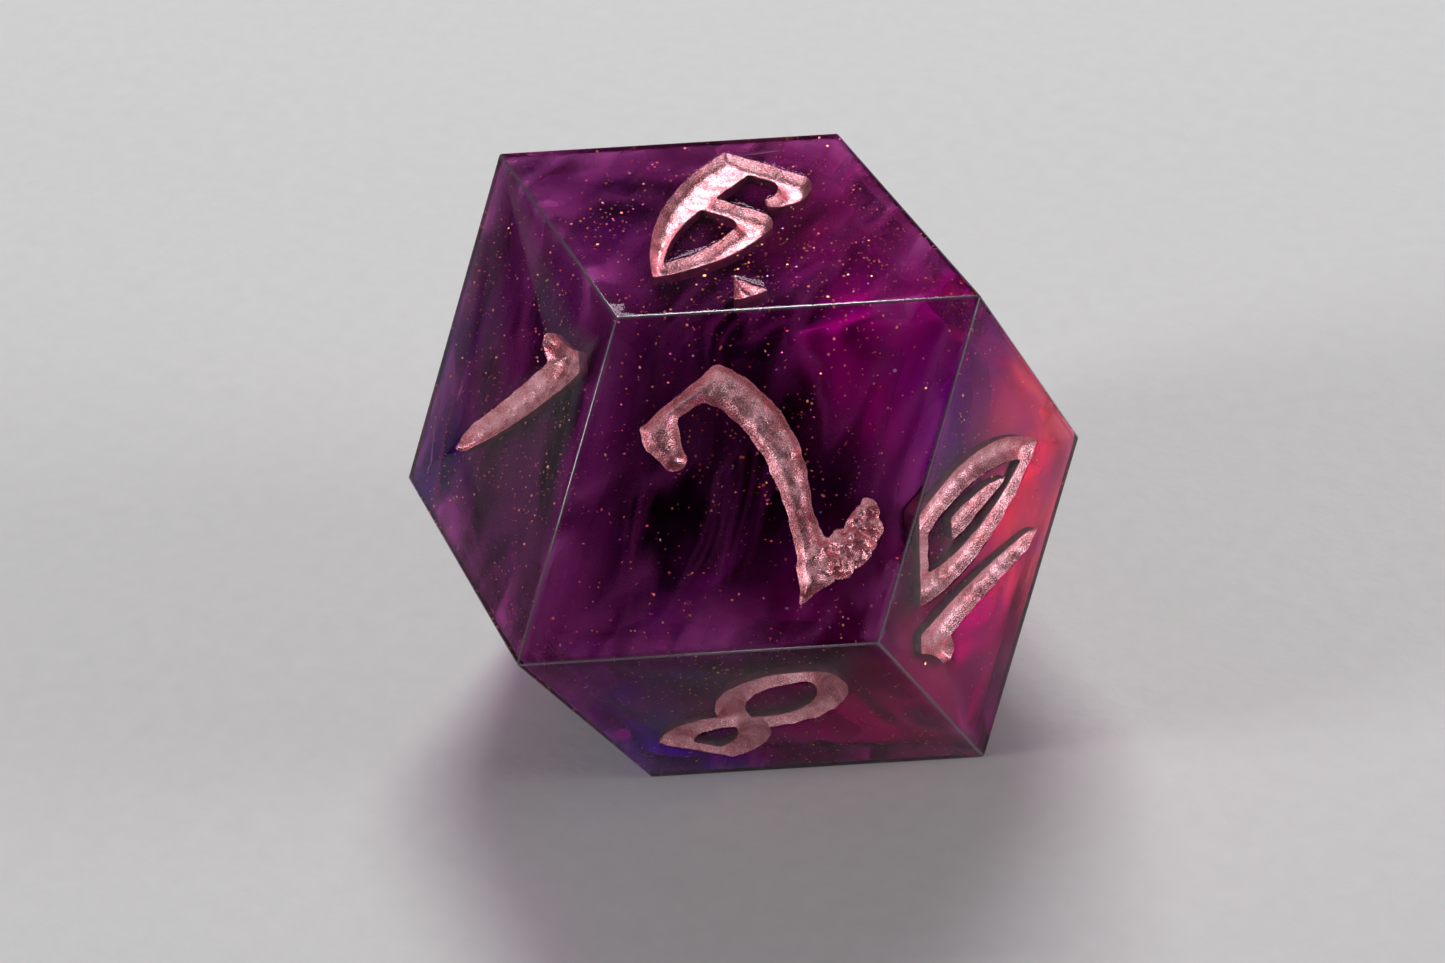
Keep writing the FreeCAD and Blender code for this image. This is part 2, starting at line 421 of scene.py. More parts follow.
def paint_height(place, wall):
    """Height of the paint above the face, given the distance to the nearest wall."""
    crumbs = torn(place) * (lumpy(place, TORN_LUMPS) + TORN_LIFT)
    floor = -POCKET_DEPTH + PAINT_FLOOR + lumpy(place, LUMPS) + crumbs
    top = -PAINT_TOP + lumpy(place, TOP_LUMPS, CENTRE) + CRUMBS_AT_TOP * crumbs
    climb = np.exp(-(wall / PAINT_CREEP) ** PAINT_CREEP_POWER)
    return floor + (top - floor) * climb


def grid_inside(loops):
    """Points of a triangular grid in the painted region, clear of its outlines."""
    every = np.concatenate(loops)
    low, high = every.min(axis=0), every.max(axis=0)
    columns = np.arange(low[0], high[0], PAINT_GRID)
    rows = np.arange(low[1], high[1], PAINT_GRID * sqrt(3) / 2)
    grid = np.array([(x + (i % 2) * PAINT_GRID / 2, y) for i, y in enumerate(rows) for x in columns])
    grid = grid[inside(grid, loops)]
    return grid[wall_distance(grid, loops) > PAINT_GRID / 2]


def make_paint(name, face, loops):
    loops = [sideways(loop, PAINT_OVERLAP) for loop in loops]
    shell = Shell()
    flat, triangles = triangulate(loops, extra=grid_inside(loops))
    walls = wall_distance(flat, loops)
    heights = [paint_height(face.lift(x, y), wall) for (x, y), wall in zip(flat, walls)]
    shell.add([face.lift(x, y, height) for (x, y), height in zip(flat, heights)], triangles, OPEN)

    bottom = -POCKET_DEPTH - PAINT_OVERLAP
    flat, triangles = triangulate(loops)
    shell.add([face.lift(x, y, bottom) for x, y in flat], triangles, BONDED)
    for loop in loops:
        near = [face.lift(x, y, paint_height(face.lift(x, y), 0.0)) for x, y in loop]
        far = [face.lift(x, y, bottom) for x, y in loop]
        shell.add_strip(near, far, BONDED, closed=True)
    piece = closed_object(name.replace("_paint", "_inked"), shell)
    piece.data.set_sharp_from_angle(angle=PAINT_CREASE)
    return piece


# ---------------------------------------------------------------- inside the resin
# A pool of pigment: its centre, the radius of its full colour, the radius where it ends,
# how deep under the faces its opaque part lies, how much the veils over it cover, and
# the colours of those veils and of its own.
Pool = namedtuple("Pool", "spot near far depth cover veil core")
POOLS = [
    Pool(corner(-0.9, -1.0, 0.3), 3.0, 9.0, 1.4, 0.50, (0.20, 0.02, 0.16), (0.120, 0.006, 0.100)),
    Pool(corner(-1.2, 0.0, 1.2), 3.5, 6.5, 1.1, 0.90, (0.08, 0.004, 0.04), (0.050, 0.002, 0.025)),
    Pool(corner(0.0, -1.2, 1.2), 3.5, 6.5, 1.1, 0.92, (0.05, 0.008, 0.14), (0.030, 0.003, 0.100)),
    Pool(corner(1.2, -1.2, 0.0), 3.0, 6.0, 1.2, 0.90, (0.05, 0.005, 0.12), (0.030, 0.002, 0.090)),
    Pool(corner(0.8, -1.1, 1.1), 2.0, 5.5, 1.5, 0.50, (0.05, 0.010, 0.14), (0.020, 0.003, 0.080)),
    Pool(corner(0.1, -0.1, 1.9), 1.5, 5.5, 1.5, 0.35, (0.19, 0.05, 0.16), (0.060, 0.010, 0.055)),
    Pool(corner(-0.4, 1.3, 0.9), 1.5, 5.5, 2.0, 0.12, (0.30, 0.03, 0.16), (0.140, 0.004, 0.070)),
    Pool(corner(0.25, 1.65, 0.0), 1.5, 5.5, 1.9, 0.12, (0.26, 0.004, 0.15), (0.180, 0.001, 0.100)),
    Pool(corner(0.9, 0.8, -0.8), 1.5, 4.6, 1.9, 0.08, (0.12, 0.002, 0.07), (0.090, 0.001, 0.055)),
    Pool(corner(0.1, 1.6, -0.6), 1.6, 4.2, 1.7, 0.40, (0.16, 0.003, 0.22), (0.150, 0.002, 0.210)),
    Pool(corner(0.8, 1.2, 0.7), 1.2, 4.0, 3.0, 0.00, (0.10, 0.006, 0.08), (0.014, 0.001, 0.016)),
    Pool(corner(1.0, 0.75, 0.2), 1.8, 4.2, 4.0, 0.00, (0.05, 0.003, 0.05), (0.004, 0.0004, 0.007)),
    Pool(corner(1.1, 0.1, 0.8), 2.0, 5.0, 3.0, 0.00, (0.12, 0.004, 0.11), (0.035, 0.001, 0.040)),
    Pool(corner(1.0, -0.9, -0.9), 2.4, 5.5, 1.2, 0.50, (0.09, 0.002, 0.36), (0.080, 0.001, 0.380)),
    Pool(corner(1.4, -0.3, -0.4), 1.5, 4.0, 1.7, 0.30, (0.16, 0.002, 0.20), (0.140, 0.001, 0.180)),
    Pool(corner(0.7, 0.0, -1.2), 2.2, 5.0, 1.4, 0.45, (0.44, 0.002, 0.21), (0.480, 0.002, 0.230)),
    Pool(corner(0.2, 0.6, -1.5), 3.0, 7.0, 0.8, 0.45, (0.34, 0.006, 0.11), (0.400, 0.005, 0.120)),
    Pool(corner(-0.9, 1.1, -0.9), 3.8, 7.2, 0.7, 0.85, (0.74, 0.12, 0.16), (0.700, 0.080, 0.110)),
]

# A ribbon of pigment that curls about a spot.
Ribbon = namedtuple("Ribbon", "spot radius width strength colour")
RIBBONS = [
    Ribbon(corner(0.95, 0.73, -0.08), 2.1, 0.9, 0.9, (0.120, 0.006, 0.130)),
    Ribbon(corner(0.30, 1.60, 0.05), 2.6, 0.8, 0.7, (0.300, 0.004, 0.170)),
    Ribbon(corner(0.85, -0.20, 0.95), 2.4, 0.9, 0.7, (0.120, 0.020, 0.080)),
    Ribbon(corner(-0.40, 0.90, 1.10), 2.6, 0.9, 0.6, (0.240, 0.020, 0.110)),
    Ribbon(corner(1.00, -0.35, -0.55), 2.0, 0.8, 0.8, (0.060, 0.002, 0.220)),
]

# The opaque core, by its depth under the faces.
CORE_DEPTH = 2.3
CORE_SWING = 1.3               # how much that depth varies
CORE_WAVES = 2.0               # how close its bulges are
CORE_FOLDING, CORE_FOLDS = 0.6, 1.6            # how much they fold over, and how closely
CORE_FRACTAL = (1.0, 2.0, 3)   # increment, lacunarity, octaves
CORE_LEAST_DEPTH = 0.64        # clear of the pockets
CORE_CRISPNESS = 40
CORE_SPLITS = 6
CORE_EDGE_START, CORE_EDGE_BAND = 0.80, 0.20   # where it starts to rise towards the edges
CORE_EDGE_RISE = 0.40

# The milky veils: depth under the faces, strength of the haze along edges, of the folds.
Veil = namedtuple("Veil", "depth haze folds")
VEILS = [
    Veil(0.62, 0.80, 0.14),
    Veil(1.00, 0.60, 0.23),
    Veil(1.50, 0.55, 0.27),
    Veil(2.10, 0.55, 0.30),
]
VEIL_WAVE = 0.22
VEIL_WAVES = 2.4               # how close its waves are
VEIL_CRISPNESS = 34
VEIL_SPLITS = 5
OUTER_VEIL_CRISPNESS = 120
OUTER_VEIL_SPLITS = 7
OUTER_VEIL_EDGE_DEPTH = 0.14   # the outermost veil comes this close to the edges
VEIL_EDGE_START, VEIL_EDGE_BAND = 0.945, 0.040
ZERO_TIP = corner(0.5, 1.5, -0.5)              # the zero of the ten almost cuts this edge
ZERO_CLEARANCE = 3.0


def hull_reach(direction, half, crispness):
    """Distance from the centre to a copy of the solid, half from centre to face.

    The higher the crispness, the less its edges are rounded.
    """
    total = 0.0
    for face in FACES:
        total += max(0.0, face.normal.dot(direction)) ** crispness
    return half / total ** (1 / crispness)


def edge_closeness(direction):
    """1 towards an edge of the solid, and less towards the middle of a face."""
    slopes = sorted(face.normal.dot(direction) for face in FACES)
    return slopes[-2] / slopes[-1]


def core_reach(direction):
    """Distance from the centre to the opaque pigment."""
    edge = clamped((edge_closeness(direction) - CORE_EDGE_START) / CORE_EDGE_BAND)
    folded = direction * CORE_WAVES + CORE_FOLDING * noise.noise_vector(direction * CORE_FOLDS)
    depth = CORE_DEPTH + CORE_SWING * noise.fractal(folded, *CORE_FRACTAL)
    place = CENTRE + direction * HALF
    for pool in POOLS:
        share = eased((pool.far - (place - pool.spot).length) / (pool.far - pool.near))
        depth += (pool.depth - depth) * share
    depth *= 1 - CORE_EDGE_RISE * edge * edge
    return hull_reach(direction, HALF - max(depth, CORE_LEAST_DEPTH), CORE_CRISPNESS)


def ball(name, splits, reach):
    """Closed surface at reach(direction) from the centre."""
    bm = bmesh.new()
    bmesh.ops.create_icosphere(bm, subdivisions=splits, radius=1.0)
    for vertex in bm.verts:
        direction = vertex.co.normalized()
        vertex.co = (CENTRE + direction * reach(direction)) * MM
    for face in bm.faces:
        face.smooth = True
    mesh = bpy.data.meshes.new(name)
    bm.to_mesh(mesh)
    bm.free()
    return add_object(name, mesh)


def make_core():
    return ball("pigment_core", CORE_SPLITS, core_reach)


def along_edge(direction):
    """1 under an edge of the solid, falling to 0 just beside it, where numerals begin."""
    place = CENTRE + direction * hull_reach(direction, HALF, OUTER_VEIL_CRISPNESS)
    if (place - ZERO_TIP).length < ZERO_CLEARANCE:
        return 0.0
    return eased((edge_closeness(direction) - VEIL_EDGE_START) / VEIL_EDGE_BAND)


def make_outer_veil(number, depth):
    """Thin shell of milky pigment under the numerals, rising towards the edges."""
    def reach(direction):
        risen = (depth - OUTER_VEIL_EDGE_DEPTH) * along_edge(direction)
        return hull_reach(direction, HALF - depth + risen, OUTER_VEIL_CRISPNESS)
    return ball(f"pigment_veil_{number}", OUTER_VEIL_SPLITS, reach)


def make_veil(number, depth):
    """Thin wavy shell of milky pigment at about depth below the faces."""
    def reach(direction):
        wave = VEIL_WAVE * noise.noise(direction * VEIL_WAVES + Vector((number, 0, 0)))
        return hull_reach(direction, HALF - depth - abs(wave), VEIL_CRISPNESS)
    return ball(f"pigment_veil_{number}", VEIL_SPLITS, reach)


# ---------------------------------------------------------------- glitter
Glitter = namedtuple("Glitter", "name count smallest largest colour")
GLITTERS = [
    Glitter("gold_glitter", 2600, 0.04, 0.10, (1.0, 0.66, 0.22)),
    Glitter("copper_glitter", 2000, 0.04, 0.10, (1.0, 0.34, 0.12)),
    Glitter("pink_glitter", 1000, 0.04, 0.08, (0.95, 0.28, 0.50)),
    Glitter("blue_glitter", 350, 0.04, 0.08, (0.35, 0.40, 1.0)),
    Glitter("white_specks", 40, 0.07, 0.14, (0.90, 0.85, 0.90)),
]
FLAKE_SIDES = 6
FLAKE_THICKNESS = 0.1          # as a share of its width
GLITTER_LEAST_DEPTH = 0.12     # under the faces
GLITTER_SPREAD = 2.4           # from there down
GLITTER_CROWDING = 1.7         # above 1, flakes crowd towards the faces
GLITTER_CRISPNESS = 60
CORE_MARGIN = 0.1              # flakes keep this far above the opaque core
STROKE_MARGIN = 0.10           # and this far from the engraved strokes
DRIFT_WAVES, DRIFT_FINE_WAVES = 0.35, 1.1
DRIFT_FINE_SHARE = 0.5
DRIFT_LEVELS = (-0.5, 1.0)     # a flake stays where the drift is above a random one of these
DRIFT_SHIFT = Vector((7, 3, 1))
DRIFT_SPOT = corner(0.3, 1.5, 0.4)             # the glitter is thickest here
DRIFT_EXTRA = 0.8
DRIFT_FADE = 0.11              # how much less of that extra each millimetre away


def add_flake(shell, place, across, turn):
    """One thin six-sided flake."""
    thick = FLAKE_THICKNESS * across
    points = []
    for height in (-thick / 2, thick / 2):
        for i in range(FLAKE_SIDES):
            angle = i * 2 * pi / FLAKE_SIDES
            arm = Vector((cos(angle) * across / 2, sin(angle) * across / 2, height))
            points.append(place + turn @ arm)
    bottom = tuple(reversed(range(FLAKE_SIDES)))
    top = tuple(FLAKE_SIDES + i for i in range(FLAKE_SIDES))
    ahead = [(i + 1) % FLAKE_SIDES for i in range(FLAKE_SIDES)]
    sides = [(i, ahead[i], FLAKE_SIDES + ahead[i], FLAKE_SIDES + i) for i in range(FLAKE_SIDES)]
    shell.add(points, [bottom, top] + sides)


def clear_of_strokes(places, pockets):
    """The places that are not in or just under an engraved stroke."""
    flat = np.array(places)
    clear = np.ones(len(flat), bool)
    for face, loops in pockets.values():
        arms = flat - np.array(face.middle)
        spots = np.stack([arms @ np.array(face.x_axis), arms @ np.array(face.y_axis)], axis=1)
        shallow = arms @ np.array(face.normal) > -POCKET_DEPTH - STROKE_MARGIN
        clear &= ~(shallow & inside(spots, [sideways(loop, STROKE_MARGIN) for loop in loops]))
    return [place for place, kept in zip(places, clear) if kept]


def drift(place):
    """How much glitter gathers there."""
    coarse = noise.noise(place * DRIFT_WAVES + DRIFT_SHIFT)
    fine = DRIFT_FINE_SHARE * noise.noise(place * DRIFT_FINE_WAVES)
    return coarse + fine + max(0.0, DRIFT_EXTRA - DRIFT_FADE * (place - DRIFT_SPOT).length)


def random_direction(draw):
    return Vector([draw.gauss(0, 1) for _ in range(3)]).normalized()


def make_glitter(kind, draw, pockets):
    """Flakes strewn through the clear resin, in loose drifts."""
    places = []
    while len(places) < kind.count:
        direction = random_direction(draw)
        depth = GLITTER_LEAST_DEPTH + GLITTER_SPREAD * draw.random() ** GLITTER_CROWDING
        place = CENTRE + direction * hull_reach(direction, HALF - depth, GLITTER_CRISPNESS)
        if drift(place) < draw.uniform(*DRIFT_LEVELS):
            continue
        if (place - CENTRE).length > core_reach(direction) + CORE_MARGIN:
            places.append(place)
    shell = Shell()
    for place in clear_of_strokes(places, pockets):
        axis = random_direction(draw)
        turn = Matrix.Rotation(draw.uniform(0, pi), 3, axis)
        add_flake(shell, place, draw.uniform(kind.smallest, kind.largest), turn)
    mesh = bpy.data.meshes.new(kind.name)
    mesh.from_pydata([p * MM for p in shell.points], [], shell.polygons)
    return add_object(kind.name, mesh)


# ---------------------------------------------------------------- shader helpers
def node(tree, kind, inputs=None, **settings):
    """New shader node. An input is a value, or a socket to link from."""
    made = tree.nodes.new("ShaderNode" + kind)
    for key, value in settings.items():
        setattr(made, key, value)
    for key, value in (inputs or {}).items():
        if isinstance(value, bpy.types.NodeSocket):
            tree.links.new(value, made.inputs[key])
        else:
            made.inputs[key].default_value = value
    return made


def new_material(name):
    made = bpy.data.materials.new(name)
    made.use_nodes = True
    made.node_tree.nodes.clear()
    return made, made.node_tree


def maths(tree, operation, first, second):
    return node(tree, "Math", {0: first, 1: second}, operation=operation).outputs[0]


def absolute(tree, value):
    return node(tree, "Math", {0: value}, operation="ABSOLUTE").outputs[0]


def scaled(tree, vector, factor):
    return node(tree, "VectorMath", {0: vector, "Scale": factor}, operation="SCALE").outputs[0]


def vector_maths(tree, operation, first, second):
    return node(tree, "VectorMath", {0: first, 1: second}, operation=operation).outputs[0]


def gap_to(tree, place, spot):
    return node(tree, "VectorMath", {0: place, 1: tuple(spot)}, operation="DISTANCE").outputs["Value"]


def spread(tree, value, bottom=0.0, top=1.0, low=0.0, high=1.0):
    """The value from low to high turned evenly into bottom to top."""
    return node(tree, "MapRange", {"Value": value, "From Min": low, "From Max": high,
                                   "To Min": bottom, "To Max": top}).outputs[0]


def ramp(tree, value, low, high, bottom=0.0, top=1.0):
    """bottom up to low, then easing to top at high."""
    return node(tree, "MapRange", {"Value": value, "From Min": low, "From Max": high,
                                   "To Min": bottom, "To Max": top},
                interpolation_type="SMOOTHSTEP").outputs[0]


def grain(tree, place, scale, detail=2.0, distortion=0.0):
    return node(tree, "TexNoise", {"Vector": place, "Scale": scale, "Detail": detail,
                                   "Distortion": distortion}).outputs["Fac"]


def mixed(tree, share, first, second):
    made = node(tree, "Mix", {"Factor": share}, data_type="RGBA")
    colour_inputs = (6, 7)     # the Mix node's colour sockets share their names with others
    for slot, value in zip(colour_inputs, (first, second)):
        if isinstance(value, bpy.types.NodeSocket):
            tree.links.new(value, made.inputs[slot])
        else:
            made.inputs[slot].default_value = (*value, 1.0)
    return made.outputs[2]


def finish(tree, shader):
    node(tree, "OutputMaterial", {"Surface": shader.outputs[0]})


def row_place(tree):
    """Socket with the place in the row frame, in millimetres."""
    return scaled(tree, node(tree, "TexCoord").outputs["Object"], 1 / MM)


def swirled(tree, place, scale, amount):
    """The place, pushed about by soft noise, so that what reads it curls."""
    push = node(tree, "TexNoise", {"Vector": place, "Scale": scale, "Detail": 2.0}).outputs["Color"]
    centred = vector_maths(tree, "SUBTRACT", push, (0.5, 0.5, 0.5))
    return vector_maths(tree, "ADD", place, scaled(tree, centred, amount))


def curled(tree, place):
    """The place, pushed about coarsely and then finely."""
    coarse = swirled(tree, place, scale=0.18, amount=4.0)
    return swirled(tree, coarse, scale=0.5, amount=1.2)


def clouds(tree, place, scale, low, high, detail=3.0):
    """Noise stretched so that low becomes 0 and high becomes 1."""
    return spread(tree, grain(tree, place, scale, detail), low=low, high=high)


STIR = (1.7, 0.55, 0.55)       # the pigment was drawn out along Y and Z


def stirred(tree, place):
    """The place, squeezed across the stirring and curled, for noise that gives long wisps."""
    return swirled(tree, vector_maths(tree, "MULTIPLY", place, STIR), scale=0.25, amount=6.0)


def streaked(tree, place, scale, low, high):
    """Long curling streaks, as pigment stirred into the resin leaves: 0 to 1."""
    value = grain(tree, stirred(tree, place), scale, detail=1.2, distortion=0.3)
    return ramp(tree, value, low, high)


# ---------------------------------------------------------------- pigment materials
BARE_EDGE = (corner(0.6, 1.3, 0.6), 2.5, 5.5)  # no haze here: the spot, near, far
SHEET_WIDTH = 0.10             # of the folded sheets in the veils, in steps of the noise


def close_to(tree, place, spot, near, far):
    """1 within near of the spot, falling smoothly to 0 at far."""
    return ramp(tree, gap_to(tree, place, spot), near, far, bottom=1.0, top=0.0)


def pool_share(tree, place, pool):
    return close_to(tree, place, pool.spot, pool.near, pool.far)


def pooled(tree, place, base, colours):
    """The base colour, with the colour given for each pool laid over it."""
    colour = base
    for pool, own in zip(POOLS, colours):
        colour = mixed(tree, pool_share(tree, place, pool), colour, own)
    return colour


def pool_cover(tree, place):
    """How strongly the veils cover what is under them, from the pools."""
    cover = 0.0
    for pool in POOLS:
        share = pool_share(tree, place, pool)
        step = maths(tree, "SUBTRACT", pool.cover, cover)
        cover = maths(tree, "ADD", cover, maths(tree, "MULTIPLY", share, step))
    return cover


def ribbon_share(tree, place, ribbon):
    """The ribbon's strength along it, fading to 0 beside it."""
    gap = gap_to(tree, swirled(tree, place, scale=0.4, amount=1.6), ribbon.spot)
    off = absolute(tree, maths(tree, "SUBTRACT", gap, ribbon.radius))
    return ramp(tree, off, low=0.0, high=ribbon.width, bottom=ribbon.strength, top=0.0)


def core_material():
    made, tree = new_material("resin_pigment_core")
    place = row_place(tree)
    colour = pooled(tree, curled(tree, place), (0.040, 0.003, 0.050), [pool.core for pool in POOLS])
    for ribbon in RIBBONS:
        colour = mixed(tree, ribbon_share(tree, place, ribbon), colour, ribbon.colour)
    streaks = streaked(tree, place, scale=0.32, low=0.36, high=0.62)
    colour = scaled(tree, colour, spread(tree, streaks, bottom=0.45, top=2.2))
    finish(tree, node(tree, "BsdfPrincipled", {"Base Color": colour, "Roughness": 0.9,
                                               "Specular IOR Level": 0.0}))
    return made


def edge_nearness(tree, place):
    """0.5 under the middle of a face, rising to 1 under an edge of the solid."""
    centred = vector_maths(tree, "SUBTRACT", place, tuple(CENTRE))
    x, y, z = node(tree, "SeparateXYZ", {0: centred}).outputs
    slant = maths(tree, "MULTIPLY", maths(tree, "ADD", x, z), 1 / sqrt(2))
    lean = maths(tree, "MULTIPLY", maths(tree, "SUBTRACT", z, x), 1 / sqrt(2))
    sizes = [absolute(tree, part) for part in (y, slant, lean)]
    largest = maths(tree, "MAXIMUM", sizes[0], maths(tree, "MAXIMUM", sizes[1], sizes[2]))
    smallest = maths(tree, "MINIMUM", sizes[0], maths(tree, "MINIMUM", sizes[1], sizes[2]))
    total = maths(tree, "ADD", sizes[0], maths(tree, "ADD", sizes[1], sizes[2]))
    second = maths(tree, "SUBTRACT", total, maths(tree, "ADD", largest, smallest))
    return maths(tree, "DIVIDE", maths(tree, "ADD", largest, smallest),
                 maths(tree, "ADD", largest, second))


def veil_material(number, veil):
    """Milky sheets that follow the edges and curl through the resin."""
    made, tree = new_material(f"resin_veil_{number}")
    place = row_place(tree)
    curl = curled(tree, place)
    level = grain(tree, stirred(tree, place), scale=0.28, detail=1.4)
    gap = absolute(tree, maths(tree, "SUBTRACT", level, 0.5))
    sheet = maths(tree, "SUBTRACT", 1.0, ramp(tree, gap, low=0.0, high=SHEET_WIDTH))
    uneven = spread(tree, streaked(tree, place, scale=0.46, low=0.32, high=0.64), bottom=0.25)

    folds = maths(tree, "MULTIPLY", sheet, veil.folds)
    haze = ramp(tree, edge_nearness(tree, place), low=0.80, high=0.99, top=veil.haze)
    elsewhere = maths(tree, "SUBTRACT", 1.0, close_to(tree, place, *BARE_EDGE))
    haze = maths(tree, "MULTIPLY", maths(tree, "MULTIPLY", haze, uneven), elsewhere)
    milky = maths(tree, "MULTIPLY", pool_cover(tree, curl), uneven)
    cover = maths(tree, "MAXIMUM", maths(tree, "MAXIMUM", folds, haze), milky)

    colour = pooled(tree, curl, (0.19, 0.035, 0.14), [pool.veil for pool in POOLS])
    colour = mixed(tree, maths(tree, "MULTIPLY", sheet, 0.5), colour, (0.34, 0.09, 0.26))
    finish(tree, node(tree, "BsdfPrincipled", {"Base Color": colour, "Roughness": 0.9,
                                               "Specular IOR Level": 0.0, "Alpha": cover}))
    return made


def glitter_material(name, colour):
    made, tree = new_material(name)
    shade = clouds(tree, row_place(tree), scale=1.5, low=0.3, high=0.7)
    tint = mixed(tree, shade, [0.6 * c for c in colour], colour)
    finish(tree, node(tree, "BsdfPrincipled", {"Base Color": tint, "Metallic": 0.6, "Roughness": 0.35}))
    return made


# ---------------------------------------------------------------- resin and paint materials
RESIN_IOR = 1.20


def lit_inside(tree, glass):
    """Ends a resin material: its glass, the tint of its depth, and lamps let through."""
    clear = node(tree, "BsdfTransparent", {"Color": (0.86, 0.60, 0.86, 1.0)})
    lamp = node(tree, "LightPath").outputs["Is Shadow Ray"]
    surface = node(tree, "MixShader", {0: lamp, 1: glass.outputs[0], 2: clear.outputs[0]})
    tint = node(tree, "VolumeAbsorption", {"Color": (0.74, 0.15, 0.66, 1.0), "Density": 520.0})
    node(tree, "OutputMaterial", {"Surface": surface.outputs[0], "Volume": tint.outputs[0]})


def casting_material():
    """Polished clear resin. Lamps shine through it on what is inside."""
    made, tree = new_material("resin_clear")
    place = row_place(tree)
    scratches = grain(tree, place, scale=14.0, detail=4.0)
    waves = grain(tree, place, scale=0.3, detail=0.0)
    relief = maths(tree, "ADD", maths(tree, "MULTIPLY", scratches, 0.01), waves)
    bump = node(tree, "Bump", {"Height": relief, "Strength": 0.05, "Distance": 0.0002})
    glass = node(tree, "BsdfPrincipled", {
        "Base Color": (1.0, 1.0, 1.0, 1.0), "Roughness": 0.02, "IOR": RESIN_IOR,
        "Transmission Weight": 1.0, "Specular Tint": (0.30, 0.15, 0.30, 1.0),
        "Normal": bump.outputs[0]})
    lit_inside(tree, glass)
    return made


def worn_and_highlit_edge_material():
    """The sanded edges of the resin: a little rougher, with a pale base colour that paints a highlight
    line along every edge, under a glossy coat that catches the light.
    """
    made, tree = new_material("resin_worn_edge")
    nicks = clouds(tree, row_place(tree), scale=2.5, low=0.30, high=0.60, detail=4.0)
    # the pale base colour is a painted highlight along the edges; the coat's reflection of the lamps is
    # real
    glass = node(tree, "BsdfPrincipled", {
        "Base Color": (0.80, 0.50, 0.74, 1.0), "Roughness": spread(tree, nicks, bottom=0.12, top=0.20),
        "IOR": RESIN_IOR, "Transmission Weight": 0.93,
        "Coat Weight": 1.0, "Coat Roughness": 0.22, "Coat IOR": 1.75})
    lit_inside(tree, glass)
    return made


def paint_material():
    """Rose-gold acrylic: fine metal powder, uneven and a little lumpy."""
    made, tree = new_material("rose_gold_paint")
    place = row_place(tree)
    patches = clouds(tree, place, scale=1.3, low=0.35, high=0.65)
    powder = grain(tree, place, scale=22.0, detail=3.0)
    colour = mixed(tree, patches, (0.58, 0.17, 0.20), (0.98, 0.46, 0.53))
    sparkle = clouds(tree, place, scale=24.0, low=0.52, high=0.68)
    bump = node(tree, "Bump", {"Height": powder, "Strength": 0.8, "Distance": 0.00003})
    finish(tree, node(tree, "BsdfPrincipled", {
        "Base Color": mixed(tree, sparkle, colour, (1.0, 0.72, 0.78)), "Metallic": 0.96,
        "Roughness": spread(tree, powder, bottom=0.18, top=0.34, low=0.3, high=0.7),
        "Normal": bump.outputs[0]}))
    return made


def shaded_back_material():
    """The back and sides of the paint, seen through the resin: coloured dark as painted shade."""
    made, tree = new_material("paint_against_resin")
    patches = clouds(tree, row_place(tree), scale=2.0, low=0.35, high=0.65)
    # dark colour: painted shade on the paint's back and sides, its tone varied at random
    colour = mixed(tree, patches, (0.070, 0.010, 0.035), (0.160, 0.030, 0.060))
    finish(tree, node(tree, "BsdfPrincipled", {"Base Color": colour, "Roughness": 0.7,
                                               "Specular IOR Level": 0.1}))
    return made


def belongs(piece, slot, materials, *replaced):
    """Gives a finished piece its materials and body, and hides the CAD nodes it replaces. The slot is
    not used.
    """
    for material in materials:
        piece.data.materials.append(material)
    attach(piece, BODY)
    if replaced:
        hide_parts(*replaced)


# ---------------------------------------------------------------- stage, lights, camera
FLOOR_HALF = 0.6               # half its side, in metres
SKY_COLOUR = (0.80, 0.82, 0.88, 1)
SKY_STRENGTH = 0.09
CAMERA_AZIMUTH = 35.0
CAMERA_ELEVATION = 35.0
CAMERA_ROLL = -3.3
CAMERA_DISTANCE = 119.4        # from the aim, in millimetres
CAMERA_AIM = Vector((-0.36, -0.77, 8.39))
LENS = 90.7
SENSOR_WIDTH = 36.0
NEAREST_SEEN = 0.001           # in metres


def floor_material():
    made, tree = new_material("pale_floor")
    specks = grain(tree, row_place(tree), scale=1.2, detail=6.0)
    colour = mixed(tree, specks, (0.60, 0.59, 0.59), (0.66, 0.65, 0.65))
    bump = node(tree, "Bump", {"Height": specks, "Strength": 0.2, "Distance": 0.0002})
    finish(tree, node(tree, "BsdfPrincipled", {"Base Color": colour, "Roughness": 0.8,
                                               "Normal": bump.outputs[0]}))
    return made


def make_floor():
    mesh = bpy.data.meshes.new("floor")
    corners = [(-1, -1), (1, -1), (1, 1), (-1, 1)]
    mesh.from_pydata([(x * FLOOR_HALF, y * FLOOR_HALF, 0) for x, y in corners], [], [(0, 1, 2, 3)])
    mesh.materials.append(floor_material())
    add_object("floor", mesh)


def bearing(azimuth, elevation):
    """Direction from the die towards that side. Azimuth 0 is towards -Y."""
    a, e = radians(azimuth), radians(elevation)
    return Vector((sin(a) * cos(e), -cos(a) * cos(e), sin(e)))


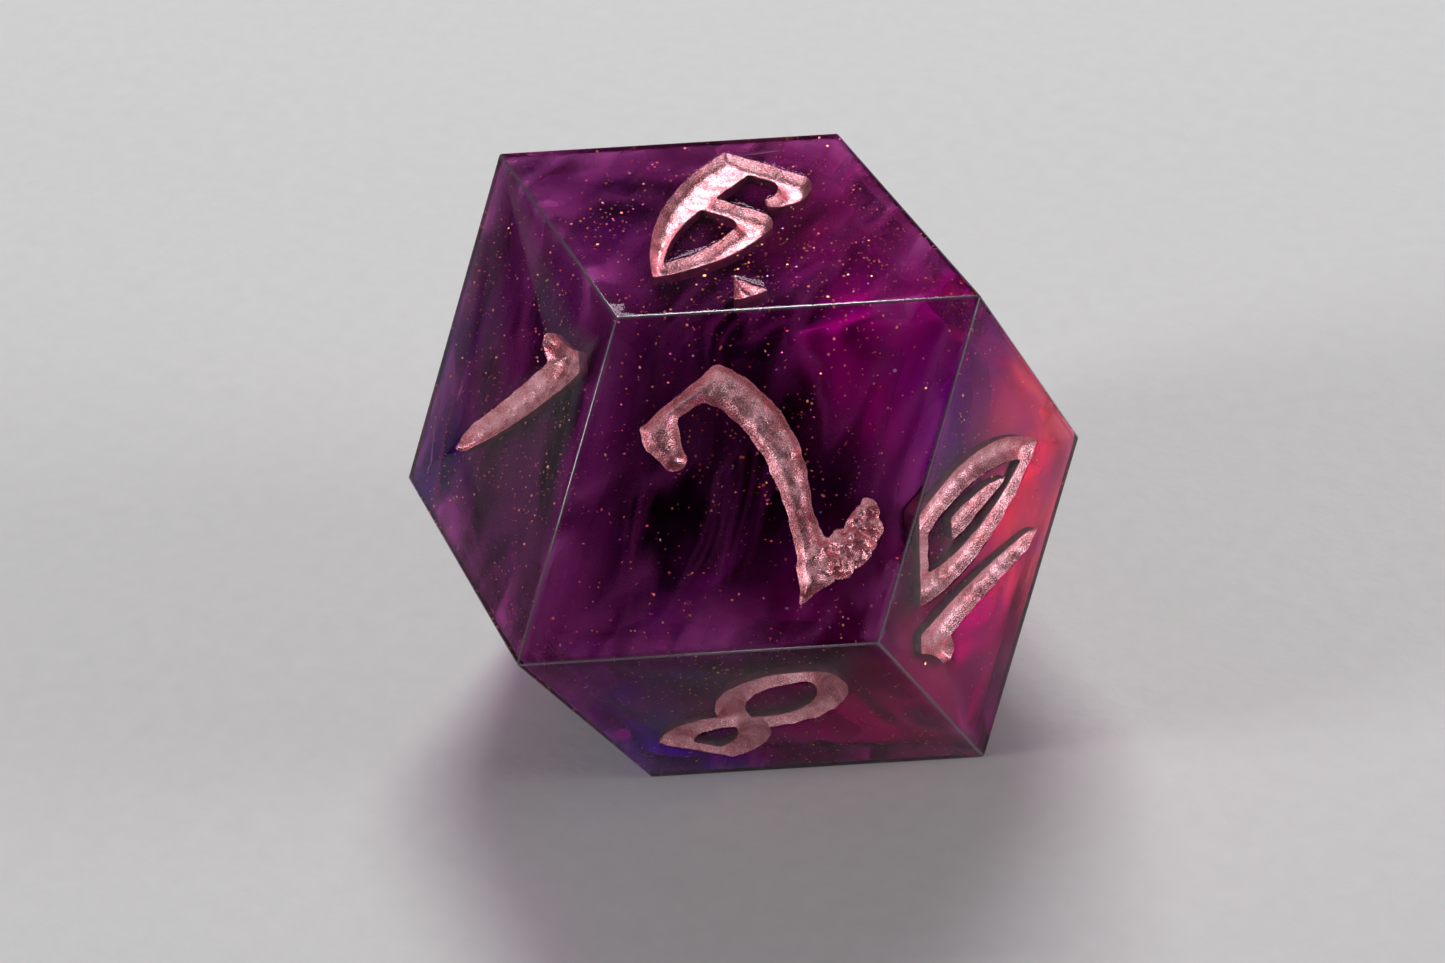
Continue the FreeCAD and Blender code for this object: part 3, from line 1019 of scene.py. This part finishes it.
def make_light(name, azimuth, elevation, distance, size, watts):
    """Square soft light aimed at the die, with its distance and size in metres."""
    data = bpy.data.lights.new(name, "AREA")
    data.size = size
    data.energy = watts
    light = add_object(name, data)
    back = bearing(azimuth, elevation)
    light.location = CENTRE * MM + back * distance
    light.rotation_mode = "QUATERNION"
    light.rotation_quaternion = back.to_track_quat("Z", "Y")


def make_lights():
    make_light("back", azimuth=213, elevation=54, distance=0.30, size=0.12, watts=0.66)
    make_light("front left", azimuth=-33, elevation=26, distance=0.35, size=0.07, watts=0.38)
    make_light("right", azimuth=108, elevation=20, distance=0.33, size=0.14, watts=0.40)
    make_light("front right", azimuth=40, elevation=3, distance=0.33, size=0.06, watts=0.06)


def make_world():
    world = bpy.data.worlds.new("studio")
    world.use_nodes = True
    sky = world.node_tree.nodes["Background"]
    sky.inputs["Color"].default_value = SKY_COLOUR
    sky.inputs["Strength"].default_value = SKY_STRENGTH
    bpy.context.scene.world = world


def make_camera():
    data = bpy.data.cameras.new("camera")
    data.sensor_width = SENSOR_WIDTH
    data.lens = LENS
    data.clip_start = NEAREST_SEEN
    camera = add_object("camera", data)
    back = bearing(CAMERA_AZIMUTH, CAMERA_ELEVATION)
    camera.location = (CAMERA_AIM + back * CAMERA_DISTANCE) * MM
    camera.rotation_mode = "QUATERNION"
    level = back.to_track_quat("Z", "Y")
    camera.rotation_quaternion = level @ Matrix.Rotation(radians(CAMERA_ROLL), 3, "Z").to_quaternion()
    bpy.context.scene.camera = camera


# ---------------------------------------------------------------- build
FACES = all_faces()
POCKETS = pocket_outlines(FACES)

belongs(make_casting(FACES, POCKETS), "resin", [casting_material(), worn_and_highlit_edge_material()], "resin_body")
belongs(make_core(), "resin", [core_material()])
for number, veil in enumerate(VEILS, start=1):
    make = make_outer_veil if number == 1 else make_veil
    belongs(make(number, veil.depth), "resin", [veil_material(number, veil)])

paint = [paint_material(), shaded_back_material()]
for name, (face, loops) in POCKETS.items():
    belongs(make_paint(name, face, loops), "paint", paint, name)

draw = random.Random(GLITTER_SEED)
for kind in GLITTERS:
    flakes = make_glitter(kind, draw, POCKETS)
    belongs(flakes, "resin", [glitter_material(kind.name, kind.colour)])

bpy.context.scene.view_settings.view_transform = "Standard"
make_floor()
make_lights()
make_world()
make_camera()
